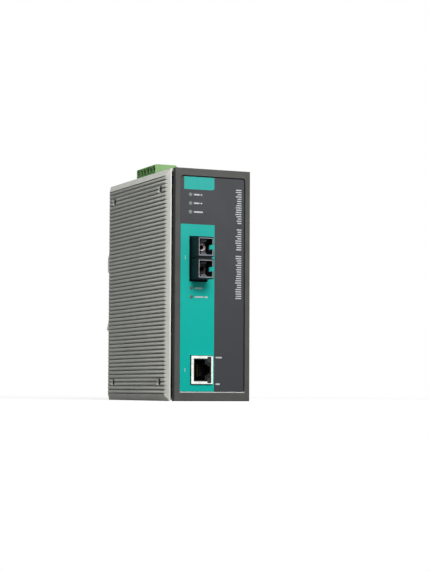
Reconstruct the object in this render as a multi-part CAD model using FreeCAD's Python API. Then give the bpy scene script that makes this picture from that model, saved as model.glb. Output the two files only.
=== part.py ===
"""Fibre media converter in a slim upright case, for a 35 mm rail.

Units are millimetres. +Z is up, the front face looks along -Y, and +X is to the
right as one faces the front. The origin is under the middle of the whole object.
Depths named d are measured rearwards from the front face.
"""

import FreeCAD, Part
import math
import os

V = FreeCAD.Vector
AXIS_X = V(1, 0, 0)
AXIS_Y = V(0, 1, 0)
AXIS_Z = V(0, 0, 1)

# ---- driving dimensions -------------------------------------------------------
case_width = 53.6
case_depth = 105.0
case_height = 135.0
nose_reach = 10.0        # fibre port in front of the face
clip_reach = 9.2         # rail clip behind the rear edge
plug_top = 143.4         # top of the terminal plug

# side plates, cast and ribbed, and the bezel between them
plate_thick = 2.8
plate_front = 5.5
bevel_in = 4.0           # bevel width, measured in the plate's plane
bevel_off = 2.4          # bevel height, measured through the plate
rib_pitch = 2.35
rib_count = 55
groove_mouth = 1.6
groove_deep = 1.25
plate_screw_z = 56.5     # screw rows above and below the middle
plate_screw_d = (17.2, 92.8)
screw_mouth = 3.2        # radius of each countersink at the plate's face
shank_sides = 12         # small screws, and the holes that only take them, have flats

bezel_half = 23.9
bezel_deep = 3.9
bezel_wall = 2.0
label_half = 20.6
label_low = 5.4
label_high = 130.6
recess_deep = 1.2
film_thick = 0.25

# folded chassis between the plates
sheet = 1.2
chassis_drop = 0.8       # chassis panels lie this far inside the plates' edges
tab_half = 6.0           # half width of the tabs that take the plate screws

# board, upright and parallel to the side plates, parts on its right face
board_left = -17.4
board_thick = 1.6
board_low = 8.0
board_high = 128.0
board_front = 8.0
board_rear = 99.0
spacer_radius = 3.1      # hexagonal spacers, corner radius
spacer_seat = 0.9        # pressed this deep into the left plate

# duplex fibre receptacle
port_x = -8.8
port_z = 82.3
port_pitch = 12.7
nose_size = (9.8, 24.3)
cavity_size = (8.0, 9.2)
barrel_back = 6.2        # sleeves' and latches' ends lie behind the nose's front
latch_back = 2.5
window_size = (11.4, 26.4)

# shielded eight-way jack, turned on its side with the latch to the right
jack_left = -13.4
jack_right = 0.2
jack_z = 18.0
jack_half = 8.1
jack_back = 21.0
jack_proud = 0.3
jack_post = 5.1          # locating posts above and below its middle

# indicator lamps
lamp_pitch = 5.08
status_x = -14.0
status_z = 119.7
link_x = -13.2
link_z = 65.3
lamp_size = 2.6
holder_front = 8.4

# six-way pluggable terminal block on the top
poles = 6
pole_pitch = 5.08
term_d = 65.25
plug_left = -16.4
plug_right = -0.4
plug_low = 131.0
tongue_low = 122.6
screw_z = 140.4

# four small slide switches beside it
switch_d = 30.0
switch_pitch = 2.54
switch_x = -9.6

ground_place = (10.0, 93.0)

# rail clip
clip_half = 23.0
clip_low = 43.9
clip_high = 92.4
clip_plate = 2.2

# ---- worked-out places --------------------------------------------------------
face_y = (nose_reach - case_depth - clip_reach) / 2
plate_inner = case_width / 2 - plate_thick
board_face = board_left + board_thick
mid_z = case_height / 2
panel_top = case_height - chassis_drop
panel_rear = case_depth - chassis_drop
term_half = (poles * pole_pitch + 0.4) / 2
pole_d = [term_d + (i - (poles - 1) / 2) * pole_pitch for i in range(poles)]
port_zs = (port_z + port_pitch / 2, port_z - port_pitch / 2)
rail_face = case_depth - chassis_drop + clip_plate


# ---- plain helpers ------------------------------------------------------------
def block(x0, x1, d0, d1, z0, z1):
    """Box between two x, two depths and two heights."""
    return Part.makeBox(x1 - x0, d1 - d0, z1 - z0, V(x0, face_y + d0, z0))


def rod(x, d, z, radius, length, axis):
    """Cylinder that starts at (x, d, z) and runs along the axis."""
    return Part.makeCylinder(radius, length, V(x, face_y + d, z), axis)


def cone(x, d, z, r0, r1, length, axis):
    return Part.makeCone(r0, r1, length, V(x, face_y + d, z), axis)


def ring(x, d, z, radius, axis):
    """Corners of a many-sided ring round (x, d, z), square to an axis."""
    across = AXIS_Y if abs(axis.x) > 0.5 else AXIS_X
    upright = axis.cross(across)
    corners = []
    for i in range(shank_sides):
        turn = 2 * math.pi * i / shank_sides
        corners.append(V(x, face_y + d, z) + across * (radius * math.cos(turn))
                       + upright * (radius * math.sin(turn)))
    return corners


def peg(x, d, z, r0, r1, length, axis):
    """Many-sided rod or taper, for the small screws that repeat and for their holes."""
    low = ring(x, d, z, r0, axis)
    high = [corner + axis * length for corner in ring(x, d, z, r1, axis)]
    faces = [low, high]
    for i in range(shank_sides):
        after = (i + 1) % shank_sides
        faces.append([low[i], low[after], high[after], high[i]])
    shell = Part.makeShell([Part.Face(Part.makePolygon(f + [f[0]])) for f in faces])
    body = Part.makeSolid(shell)
    return body if body.Volume > 0 else body.reversed()


def prism(points, run):
    """Closed outline of vectors, swept along a straight vector."""
    outline = Part.makePolygon(points + [points[0]])
    return Part.Face(outline).extrude(run)


def side_prism(points, x0, x1):
    """Outline of (depth, height) points, swept from x0 to x1."""
    return prism([V(x0, face_y + d, z) for d, z in points], V(x1 - x0, 0, 0))


def row_prism(points, d0, d1):
    """Outline of (x, height) points, swept from depth d0 to d1."""
    return prism([V(x, face_y + d0, z) for x, z in points], V(0, d1 - d0, 0))


def plan_prism(points, z0, z1):
    """Outline of (x, depth) points, swept from height z0 to z1."""
    return prism([V(x, face_y + d, z0) for x, d in points], V(0, 0, z1 - z0))


def ribbon(points, thick):
    """Both edges of a bent strip that follows a line of (u, v) points."""
    left, right = [], []
    last = len(points) - 1
    for i, (u, v) in enumerate(points):
        before = points[max(i - 1, 0)]
        after = points[min(i + 1, last)]
        a = math.atan2(v - before[1], u - before[0]) if i > 0 else None
        b = math.atan2(after[1] - v, after[0] - u) if i < last else None
        a = b if a is None else a
        b = a if b is None else b
        half_turn = (b - a + math.pi) % (2 * math.pi) - math.pi
        normal = a + half_turn / 2 + math.pi / 2
        reach = thick / 2 / math.cos(half_turn / 2)
        left.append((u + reach * math.cos(normal), v + reach * math.sin(normal)))
        right.append((u - reach * math.cos(normal), v - reach * math.sin(normal)))
    return left + right[::-1]


def edges_along(shape, axis, length=None):
    """Straight edges of a shape that run along an axis, of one length if given."""
    found = []
    for edge in shape.Edges:
        if not isinstance(edge.Curve, (Part.Line, Part.LineSegment)):
            continue
        along = abs(edge.tangentAt(edge.FirstParameter).dot(axis))
        if along > 0.999 and (length is None or abs(edge.Length - length) < 0.01):
            found.append(edge)
    return found


def rounded_block(x0, x1, d0, d1, z0, z1, radius, axis=AXIS_Y):
    """Box whose four edges along one axis are rounded."""
    body = block(x0, x1, d0, d1, z0, z1)
    return body.makeFillet(radius, edges_along(body, axis))


def joined(shapes):
    """One solid from pieces that touch or overlap."""
    whole = shapes[0].multiFuse(shapes[1:])
    return whole.removeSplitter()


def cut_all(body, tools):
    return body.cut(Part.makeCompound(tools))


def flat_screw(x, d, z, axis, head=2.8, shank=1.45, length=7.0):
    """Countersunk screw: head face at (x, d, z), shank along the axis."""
    return peg(x, d, z, head, shank, head - shank, axis).fuse(
        peg(x, d, z, shank, shank, length, axis)).removeSplitter()


def pan_screw(x, d, z, axis, head, shank, length, tall):
    """Cheese-head screw whose head sits on (x, d, z), shank along the axis."""
    return peg(x, d, z, head, head, tall, axis * -1).fuse(
        peg(x, d, z, shank, shank, length, axis)).removeSplitter()


def export(name, shape):
    """Write one sub-part, as a solid or as a group of separate solids."""
    solids = shape.Solids
    out = solids[0] if len(solids) == 1 else Part.makeCompound(solids)
    out.exportStep("parts/" + name + ".step")


# ---- case ---------------------------------------------------------------------
def bevel_cuts():
    """Four wedges that bevel the plate's outer edges and mitre at its corners."""
    outer = case_width / 2
    shoulder = outer - bevel_off
    cuts = []
    for edge, inwards in ((plate_front, 1), (case_depth, -1)):
        wedge = [(shoulder, edge), (outer + 1, edge - inwards),
                 (outer + 1, edge + inwards * bevel_in), (outer, edge + inwards * bevel_in)]
        cuts.append(plan_prism(wedge, -1, case_height + 1))
    for edge, inwards in ((0.0, 1), (case_height, -1)):
        wedge = [(shoulder, edge), (outer + 1, edge - inwards),
                 (outer + 1, edge + inwards * bevel_in), (outer, edge + inwards * bevel_in)]
        cuts.append(row_prism(wedge, plate_front - 1, case_depth + 1))
    return cuts


def ribbed_section():
    """Extruded blank whose outer face carries the V-grooves, one under another."""
    outer = case_width / 2
    points = [(plate_inner, 0.0), (outer, 0.0)]
    first = mid_z - rib_pitch * (rib_count - 1) / 2
    for i in range(rib_count):
        z = first + i * rib_pitch
        points.append((outer, z - groove_mouth / 2))
        points.append((outer - groove_deep, z))
        points.append((outer, z + groove_mouth / 2))
    points += [(outer, case_height), (plate_inner, case_height)]
    return row_prism(points, plate_front, case_depth)


def plate_screw_places():
    return [(d, mid_z + s * plate_screw_z) for d in plate_screw_d for s in (-1, 1)]


def side_plate():
    """Right-hand ribbed plate with its four countersunk holes."""
    outer = case_width / 2
    tools = bevel_cuts()
    for d, z in plate_screw_places():
        tools.append(cone(outer + 0.1, d, z, screw_mouth + 0.1, 1.6,
                          screw_mouth - 1.5, -AXIS_X))
        tools.append(rod(outer, d, z, 1.6, plate_thick + 1, -AXIS_X))
    plate = ribbed_section()
    for tool in tools:
        plate = plate.cut(tool)
    return plate.removeSplitter()


def plate_screws():
    """Countersunk screws of the right-hand plate, sunk below its ribs."""
    sunk = 0.9
    return Part.makeCompound([
        flat_screw(case_width / 2 - sunk, d, z, -AXIS_X, head=screw_mouth - sunk - 0.1,
                   length=6.5)
        for d, z in plate_screw_places()])


def mirrored(shape):
    return shape.mirror(V(0, 0, 0), AXIS_X)


def standoff_places():
    """Depth and height of the four board fixings."""
    return [(d, z) for d in (board_front + 6, board_rear - 6)
            for z in (board_low + 34, board_high - 24)]


def left_plate():
    """Left-hand plate: the same casting, with blind holes for the standoffs."""
    plate = mirrored(side_plate())
    return cut_all(plate, [hexagon(d, z, -plate_inner - spacer_seat, -plate_inner)
                           for d, z in standoff_places()])


def hexagon(d, z, x0, x1):
    """Hexagonal prism along X."""
    corners = []
    for i in range(6):
        turn = math.radians(60 * i)
        corners.append((d + spacer_radius * math.cos(turn),
                        z + spacer_radius * math.sin(turn)))
    return side_prism(corners, x0, x1)


def terminal_window(z0, z1):
    return block(plug_left - 0.4, plug_right + 0.4, term_d - term_half - 0.4,
                 term_d + term_half + 0.4, z0, z1)


def vent_slots(z0, z1, d_middle, x_middle):
    """Row of narrow slots with tapered ends through a flat panel."""
    slots = []
    for i in range(5):
        d = d_middle + (i - 2) * 4.6
        slot = block(x_middle - 8, x_middle + 8, d - 1.1, d + 1.1, z0, z1)
        slots.append(slot.makeChamfer(0.7, edges_along(slot, AXIS_Z)))
    return slots


def wall_holes():
    """Places of the four tapped holes for a wall bracket on the rear panel."""
    return [(x, z) for x in (-15.0, 15.0) for z in (22.0, 113.0)]


def clip_screw_places():
    return [(x, 66.0) for x in (-14.0, 14.0)]


def chassis():
    """Top, rear and bottom panels folded from one sheet, with tabs for the screws."""
    low, high = chassis_drop, panel_top
    half = plate_inner
    outer = side_prism([(plate_front, low), (panel_rear, low), (panel_rear, high),
                        (plate_front, high)], -half, half)
    outer = outer.makeFillet(2.0, [e for e in edges_along(outer, AXIS_X)
                                   if e.CenterOfMass.y > face_y + panel_rear - 1])
    inner = side_prism([(plate_front - 1, low + sheet), (panel_rear - sheet, low + sheet),
                        (panel_rear - sheet, high - sheet),
                        (plate_front - 1, high - sheet)], -half - 1, half + 1)
    shell = outer.cut(inner)
    tabs = []
    for side in (-1, 1):
        x0, x1 = sorted((side * half, side * (half - sheet)))
        for d, z in plate_screw_places():
            edge = low + 0.5 if z < mid_z else high - 0.5
            z0, z1 = sorted((edge, z + (tab_half if z < mid_z else -tab_half)))
            tabs.append(block(x0, x1, d - tab_half, d + tab_half, z0, z1))
    body = joined([shell] + tabs)
    tools = [terminal_window(high - 3, high + 1)]
    tools.append(block(board_face - 0.3, switch_x + 5.3, switch_d - 6.5, switch_d + 6.5,
                       high - 3, high + 1))
    tools += vent_slots(high - 3, high + 1, 65.0, 12.5)
    tools += vent_slots(low - 1, low + 3, 55.0, 4.0)
    tools.append(peg(*ground_place, high - 3, 2.05, 2.05, 5, AXIS_Z))
    for x, z in wall_holes():
        tools.append(rod(x, panel_rear - 4, z, 1.25, 8, AXIS_Y))
    for x, z in clip_screw_places():
        tools.append(peg(x, panel_rear - 4, z, 1.5, 1.5, 8, AXIS_Y))
    for side in (-1, 1):
        for d, z in plate_screw_places():
            tools.append(peg(side * (half - 3), d, z, 1.5, 1.5, 6, AXIS_X * side))
    return cut_all(body, tools)


def port_window(grow, d0, d1):
    """Space of the fibre port's window in the bezel or the label."""
    wide, tall = window_size[0] / 2 + grow, window_size[1] / 2 + grow
    return block(port_x - wide, port_x + wide, d0, d1, port_z - tall, port_z + tall)


def jack_window(grow, d0, d1):
    return block(jack_left - grow, jack_right + grow, d0, d1,
                 jack_z - jack_half - grow, jack_z + jack_half + grow)


def lamp_places():
    """Height and x of the three status lamps, then of the two link lamps."""
    status = [(status_x, status_z - i * lamp_pitch) for i in range(3)]
    link = [(link_x, link_z - i * lamp_pitch) for i in range(2)]
    return status, link


def lamp_slots(d0, d1):
    """One upright slot behind each column of lamps."""
    grow = lamp_size / 2 + 0.3
    slots = []
    for places in lamp_places():
        x, top = places[0]
        slots.append(block(x - grow, x + grow, d0, d1, places[-1][1] - grow, top + grow))
    return slots


def bezel():
    """Moulded front: a shallow tray with a sunken label bed and snap tabs."""
    body = block(-bezel_half, bezel_half, 0, bezel_deep, 0, case_height)
    front = [e for e in body.Edges if abs(e.CenterOfMass.y - face_y) < 0.01]
    body = body.makeFillet(0.7, front)
    lip = 1.4
    neck = block(-bezel_half + lip, bezel_half - lip, bezel_deep - 1, plate_front + 1.6,
                 chassis_drop + sheet + 0.2, panel_top - sheet - 0.2)
    hollow = block(-bezel_half + lip + bezel_wall, bezel_half - lip - bezel_wall,
                   2.4, plate_front + 3, chassis_drop + sheet + 2.2,
                   panel_top - sheet - 2.2)
    bed = rounded_block(-label_half, label_half, -1, recess_deep, label_low, label_high,
                        1.7)
    tabs = []
    for x in (-12.0, 12.0):
        for z, side in ((chassis_drop + sheet + 0.2, 1), (panel_top - sheet - 0.2, -1)):
            z0, z1 = sorted((z, z + side * 1.6))
            tabs.append(block(x - 4, x + 4, plate_front, plate_front + 7, z0, z1))
    body = body.fuse(neck).cut(hollow)
    body = joined([body] + tabs)
    tools = [bed, port_window(0.0, -1, 9), jack_window(0.25, -1, 9)]
    return cut_all(body, tools + lamp_slots(-1, 9))


def label():
    """Printed film laid in the bezel's bed, cut out for the ports.

    The film runs on over the lamps, which shine through clear windows in the print.
    """
    film = rounded_block(-label_half + 0.15, label_half - 0.15, recess_deep - film_thick,
                         recess_deep, label_low + 0.15, label_high - 0.15, 1.55)
    return cut_all(film, [port_window(0.1, -1, 2), jack_window(0.35, -1, 2)])


# ---- fibre port ---------------------------------------------------------------
def transceiver():
    """Duplex receptacle: long nose with two keyed cavities, body on the board."""
    wide, tall = nose_size[0] / 2, nose_size[1] / 2
    nose = rounded_block(port_x - wide, port_x + wide, -nose_reach, 4, port_z - tall,
                         port_z + tall, 0.5)
    body = block(board_face + 0.4, port_x + wide + 0.3, 3.0, 27.0, port_z - 12.7,
                 port_z + 12.7)
    feet = [block(board_face, board_face + 1, d, d + 3, port_z - 3, port_z + 3)
            for d in (10.0, 20.0)]
    whole = joined([nose, body] + feet)
    cw, ct = cavity_size[0] / 2, cavity_size[1] / 2
    tools = []
    for z in port_zs:
        tools.append(block(port_x - cw, port_x + cw, -nose_reach - 1, 1.5, z - ct, z + ct))
        tools.append(block(port_x + cw - 1, port_x + wide + 1, -nose_reach - 1, -3.6,
                           z - 1.3, z + 1.3))
        tools.append(rod(port_x, 1.0, z, 2.46, 4.0, AXIS_Y))
    groove = 0.55
    for x in (port_x - wide, port_x + wide):
        tools.append(block(x - 0.7, x + 0.7, -nose_reach - 1, -0.2, port_z - groove,
                           port_z + groove))
    tools.append(block(port_x - wide, port_x + wide, -nose_reach - 1, -nose_reach + 0.9,
                       port_z - groove, port_z + groove))
    return cut_all(whole, tools)


def barrel(z):
    """Sleeve that takes the plug's ferrule."""
    front = barrel_back - nose_reach
    sleeve = rod(port_x, front, z, 2.45, 4.8 - front, AXIS_Y)
    return sleeve.cut(rod(port_x, front - 1, z, 1.25, 9.0, AXIS_Y))


def latch(z):
    """Moulded latch insert: a foot ring and two hooked arms beside the barrel."""
    ct = cavity_size[1] / 2 - 0.1
    wide = 1.6
    tip = latch_back - nose_reach
    foot = block(port_x - 3.5, port_x + 3.5, -0.8, 0.4, z - ct, z + ct)
    arms = []
    for side in (-1, 1):
        outer = z + side * ct
        inner = outer - side * 0.8
        hook = outer - side * 1.35
        points = [(-0.4, outer), (tip + 0.5, outer), (tip, outer - side * 0.5),
                  (tip + 1.3, hook), (tip + 2.1, hook), (tip + 2.1, inner), (-0.4, inner)]
        arms.append(side_prism(points, port_x - wide, port_x + wide))
    hole = rod(port_x, -3, z, 2.6, 8, AXIS_Y)
    return joined([foot] + arms).cut(hole)


def transceiver_pins():
    """Nine contact pins in a row behind the cavities, and two locating posts."""
    pins = []
    underside = board_face + 0.4
    for i in range(9):
        z = port_z + (i - 4) * 2.54
        pins.append(block(board_left - 1.6, underside, 24.6, 25.1, z - 0.25, z + 0.25))
    for z in (port_z - 10.16, port_z + 10.16):
        pins.append(block(board_left - 1.6, underside, 12.2, 13.8, z - 0.8, z + 0.8))
    return Part.makeCompound(pins)


# ---- jack ---------------------------------------------------------------------
def jack_shield():
    """Folded tin shield with a wide front rim, open towards the board."""
    t = 0.35
    z0, z1 = jack_z - jack_half, jack_z + jack_half
    outer = rounded_block(jack_left, jack_right, -jack_proud, jack_back, z0, z1, 0.3)
    inner = block(jack_left + t, jack_right - t, -jack_proud + t, jack_back - t,
                  z0 + t, z1 - t)
    mouth = block(-11.9, -0.9, -2, 2, jack_z - 6.6, jack_z + 6.6)
    windows = block(-3.3, -0.9, -2, 2, jack_z - 7.6, jack_z + 7.6)
    belly = block(jack_left - 1, jack_left + 1, 6, jack_back - 1, z0 + 2, z1 - 2)
    legs = []
    for z in (z0, z1 - t):
        legs.append(block(board_left - 1.4, jack_left + 1, 11.0, 12.6, z, z + t))
    return joined([cut_all(outer, [inner, mouth, windows, belly])] + legs)


def jack_body():
    """Black insulator with a stepped cavity, latch channel to the right."""
    z0, z1 = jack_z - jack_half + 0.4, jack_z + jack_half - 0.4
    body = block(jack_left + 0.4, jack_right - 0.4, 0.1, jack_back - 0.5, z0, z1)
    posts = [block(board_left - 1.0, jack_left + 1, 14.1, 15.9, jack_z + s * jack_post - 0.9,
                   jack_z + s * jack_post + 0.9) for s in (-1, 1)]
    feet = [block(board_face, jack_left + 1, 9.0, 18.0, z, z + 1.2)
            for z in (z0 + 2.1, z1 - 3.3)]
    whole = joined([body] + posts + feet)
    tools = [block(-11.5, -4.7, -1, 14.0, jack_z - 5.9, jack_z + 5.9)]
    tools.append(block(-5.0, -3.0, -1, 9.0, jack_z - 3.1, jack_z + 3.1))
    tools.append(block(-3.2, -1.6, -1, 9.0, jack_z - 2.0, jack_z + 2.0))
    tools.append(block(-13.2, -11.2, 7.0, 17.2, jack_z - 4.4, jack_z + 4.4))
    for s in (-1, 1):
        tools.append(jack_lamp_space(s, 0.02))
    return cut_all(whole, tools)


def jack_lamp_space(side, grow):
    """Room of one lamp bar in a corner beside the latch channel."""
    z0, z1 = sorted((jack_z + side * 4.6, jack_z + side * 7.5))
    return block(-3.2 - grow, -1.1 + grow, -1, 12.0 + grow, z0 - grow, z1 + grow)


def jack_lamp(side):
    """Clear lamp bar, flush with the insulator's front."""
    bar = jack_lamp_space(side, 0.0)
    return bar.cut(block(-8, 4, -2, 0.15, 0, 40))


def jack_contacts():
    """Eight spring wires that rise into the cavity and lead back to the board."""
    wires = []
    path = [(3.2, -8.3), (3.6, -8.0), (12.6, -11.9), (16.8, -11.9), (16.8, board_left - 1.2)]
    outline = ribbon(path, 0.3)
    for i in range(8):
        z = jack_z + (i - 3.5) * 1.02
        wires.append(plan_prism([(x, d) for d, x in outline], z - 0.2, z + 0.2))
    return Part.makeCompound(wires)


# ---- lamps --------------------------------------------------------------------
def lamp(x, z):
    """Square light guide from the film's back to the holder's face."""
    half = lamp_size / 2
    return block(x - half, x + half, recess_deep + 0.1, holder_front, z - half, z + half)


def lamp_holder(places):
    """Black right-angle holder on the board, behind a column of light guides."""
    x, top = places[0]
    body = block(board_face, x + 2.2, holder_front, holder_front + 5.0,
                 places[-1][1] - 2.3, top + 2.3)
    return body.makeChamfer(0.6, edges_along(body, AXIS_Z))


# ---- board and what it carries ------------------------------------------------
def board():
    """Upright circuit board, notched clear of the bezel's lamps and header pins."""
    body = rounded_block(board_left, board_face, board_front, board_rear, board_low,
                         board_high, 2.0, AXIS_X)
    tools = [peg(board_left - 1, d, z, 1.6, 1.6, 4, AXIS_X) for d, z in standoff_places()]
    for i in range(9):
        z = port_z + (i - 4) * 2.54
        tools.append(block(board_left - 1, board_face + 1, 24.5, 25.2, z - 0.35, z + 0.35))
    posts = [(13.0, port_z + s * 10.16, 0.9) for s in (-1, 1)]
    posts += [(15.0, jack_z + s * jack_post, 1.0) for s in (-1, 1)]
    for d, z, r in posts:
        tools.append(block(board_left - 1, board_face + 1, d - r, d + r, z - r, z + r))
    for z in (jack_z - jack_half, jack_z + jack_half - 0.35):
        tools.append(block(board_left - 1, board_face + 1, 10.9, 12.7, z - 0.1, z + 0.45))
    tools.append(block(board_left - 1, board_face + 1, 16.5, 17.1, jack_z - 4.0,
                       jack_z + 4.0))
    for d in pole_d:
        tools.append(block(board_left - 1, board_face + 1, d - 0.6, d + 0.6, 119.6, 120.8))
    return cut_all(body, tools)


def standoffs():
    """Hexagonal spacers pressed into the left plate, tapped for the board screws."""
    spacers = []
    for d, z in standoff_places():
        body = hexagon(d, z, -plate_inner - spacer_seat, board_left)
        bore = peg(board_left + 1, d, z, 1.25, 1.25, 5.0, -AXIS_X)
        spacers.append(body.cut(bore))
    return Part.makeCompound(spacers)


def board_screws():
    return Part.makeCompound([
        pan_screw(board_face, d, z, -AXIS_X, head=2.6, shank=1.25, length=5.0, tall=1.6)
        for d, z in standoff_places()])


def converter_chip():
    """Square leadless chip: a moulded lid on a slightly wider base with its lands."""
    d, z, half = 50.0, 84.0, 8.5
    base = block(board_face, board_face + 0.5, d - half, d + half, z - half, z + half)
    lid = block(board_face + 0.3, board_face + 1.6, d - half + 0.8, d + half - 0.8,
                z - half + 0.8, z + half - 0.8)
    lid = lid.makeChamfer(0.5, edges_along(lid, AXIS_X))
    return joined([base, lid])


def line_transformer():
    """Isolation transformer block between the jack and the chip."""
    body = block(board_face + 0.3, board_face + 6.2, 27.0, 40.0, 11.0, 27.0)
    body = body.makeChamfer(0.6, edges_along(body, AXIS_Z))
    legs = []
    for i in range(8):
        z = 19.0 + (i - 3.5) * 1.9
        legs.append(block(board_face, board_face + 0.6, 25.6, 41.4, z - 0.3, z + 0.3))
    return joined([body] + legs)


def fault_relay():
    """Small sealed relay for the alarm output, standing on short legs."""
    body = block(board_face + 0.3, board_face + 10.3, 84.0, 91.5, 78.0, 98.0)
    body = body.makeChamfer(0.5, edges_along(body, AXIS_X))
    feet = [block(board_face, board_face + 0.5, d, d + 0.8, z, z + 0.8)
            for d in (84.8, 89.9) for z in (79.0, 84.0, 96.0)]
    return joined([body] + feet)


def power_transformer():
    """Wound power transformer: core halves round a bobbin with end cheeks."""
    x0 = board_face
    core = block(x0 + 2.0, x0 + 16.0, 62.0, 80.0, 40.0, 60.0)
    window = block(x0 + 5.5, x0 + 12.5, 61.0, 81.0, 43.5, 56.5)
    winding = rounded_block(x0 + 4.0, x0 + 14.0, 65.0, 77.0, 42.0, 58.0, 3.0, AXIS_Y)
    base = block(x0, x0 + 2.2, 60.0, 82.0, 41.0, 59.0)
    return joined([core.cut(window), winding, base])


def capacitor(d, z):
    """Electrolytic can, standing on the board."""
    return rod(board_face, d, z, 5.0, 16.0, AXIS_X)


# ---- terminal block -----------------------------------------------------------
def terminal_header():
    """Shroud on the board's top edge, open upwards to take the plug's tongue."""
    d0, d1 = term_d - term_half - 0.2, term_d + term_half + 0.2
    body = block(board_face, -7.2, d0, d1, 118.6, 130.6)
    tools = [block(-14.5, -8.5, d0 + 0.8, d1 - 0.8, 121.6, 131)]
    for d in pole_d:
        tools.append(block(-15.9, -14.4, d - 1.2, d + 1.2, 124.0, 131))
        tools.append(block(-12.0, -11.0, d - 0.5, d + 0.5, 119.6, 122))
        tools.append(block(-16, -10.9, d - 0.6, d + 0.6, 119.6, 120.8))
    return cut_all(body, tools)


def header_pins():
    """Six bent square pins: up into the shroud, and left through the board."""
    pins = []
    for d in pole_d:
        path = [(-11.5, 128.6), (-11.5, 120.2), (board_left - 1.8, 120.2)]
        pins.append(row_prism(ribbon(path, 0.9), d - 0.45, d + 0.45))
    return Part.makeCompound(pins)


def plug():
    """Pluggable terminal housing: stepped profile, wire funnels, screw holes."""
    d0, d1 = term_d - term_half, term_d + term_half
    profile = [(plug_left, plug_low), (plug_left, plug_top - 0.5),
               (plug_left + 0.5, plug_top), (plug_right - 2.6, plug_top),
               (plug_right, plug_top - 2.0), (plug_right, plug_low + 2.2),
               (plug_right - 2.2, plug_low)]
    tongue = block(-14.2, -8.8, d0 + 0.9, d1 - 0.9, tongue_low, plug_low)
    body = row_prism(profile, d0, d1).fuse(tongue)
    tools = []
    for d in pole_d:
        tools.append(rod(plug_left, d, screw_z, 1.85, 5.0, AXIS_X))
        tools.append(block(-11.8, -2.2, d - 2.25, d + 2.25, screw_z - 2.4, screw_z + 2.4))
        tools.append(block(-6.8, -3.6, d - 1.6, d + 1.6, screw_z, plug_top + 1))
        tools.append(block(-7.65, -6.75, d - 1.3, d + 1.3, 132.8, screw_z))
        tools.append(block(-12.5, -6.75, d - 1.3, d + 1.3, 132.0, 132.9))
        tools.append(block(-13.3, -9.7, d - 1.3, d + 1.3, tongue_low - 1, 132.9))
    for i in range(1, poles):
        d = term_d + (i - poles / 2) * pole_pitch
        tools.append(block(plug_left - 1, plug_left + 0.35, d - 0.2, d + 0.2, plug_low - 1,
                           plug_top + 1))
    return cut_all(body, tools)


def plug_contacts():
    """Six contacts: a clamp bar above, bent over to a two-leaf socket below."""
    contacts = []
    for d in pole_d:
        bar = block(-7.5, -6.9, d - 1.2, d + 1.2, 132.1, screw_z + 1.6)
        bridge = block(-12.4, -6.9, d - 1.2, d + 1.2, 132.1, 132.7)
        leaves = []
        for x0, x1 in ((-12.6, -12.15), (-10.85, -10.4)):
            leaves.append(block(x0, x1, d - 1.0, d + 1.0, 124.0, 132.4))
        link = block(-12.6, -10.4, d - 1.2, d + 1.2, 132.1, 132.7)
        contacts.append(joined([bar, bridge, link] + leaves))
    return Part.makeCompound(contacts)


def clamp_cage(d):
    """Square cage round the clamp bar, drawn along by the screw in its wall."""
    ring = block(-9.1, -2.7, d - 2.05, d + 2.05, screw_z - 2.2, screw_z + 2.2)
    hollow = block(-8.1, -3.4, d - 1.45, d + 1.45, screw_z - 3, screw_z + 3)
    thread = block(-9.6, -7.6, d - 1.3, d + 1.3, screw_z - 1.3, screw_z + 1.3)
    return ring.cut(hollow).cut(thread)


def clamp_screw(d):
    """Clamp screw, held by its round head and turned from the left."""
    head = rod(plug_left + 0.8, d, screw_z, 1.75, 1.7, AXIS_X)
    shank = peg(plug_left + 0.8, d, screw_z, 1.25, 1.25, 8.0, AXIS_X)
    return head.fuse(shank).removeSplitter()


# ---- switches, ground screw ---------------------------------------------------
def switch_places():
    return [switch_d + (i - 1.5) * switch_pitch for i in range(4)]


def switch_block():
    """Four-way slide switch on the board's top edge, slots facing up."""
    top = panel_top - 0.3
    body = block(board_face, switch_x + 4.9, switch_d - 6.1, switch_d + 6.1, 124.5, top)
    body = body.makeChamfer(0.4, [e for e in edges_along(body, AXIS_Y)
                                  if e.CenterOfMass.z > top - 1])
    tools = []
    for d in switch_places():
        tools.append(block(switch_x - 1.9, switch_x + 1.9, d - 0.75, d + 0.75,
                           top - 2.6, top - 0.8))
        tools.append(block(switch_x - 1.5, switch_x + 1.4, d - 0.6, d + 0.6,
                           top - 1, top + 1))
    return cut_all(body, tools)


def switch_slider(d):
    """Slider with a thin foot under a raised thumb, at the left end of its slot."""
    top = panel_top - 0.3
    x0 = switch_x - 1.8
    foot = block(x0, x0 + 2.1, d - 0.65, d + 0.65, top - 2.5, top - 0.9)
    thumb = block(x0 + 0.4, x0 + 1.7, d - 0.5, d + 0.5, top - 1.2, top + 0.2)
    return foot.fuse(thumb).removeSplitter()


def ground_screw():
    """Earth screw with its captive washer, on the top panel."""
    x, d = ground_place
    screw = pan_screw(x, d, panel_top + 0.6, -AXIS_Z, head=3.4, shank=1.95, length=5.0,
                      tall=2.2)
    washer = rod(x, d, panel_top, 4.3, 0.6, AXIS_Z)
    return screw.fuse(washer).removeSplitter()


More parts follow.
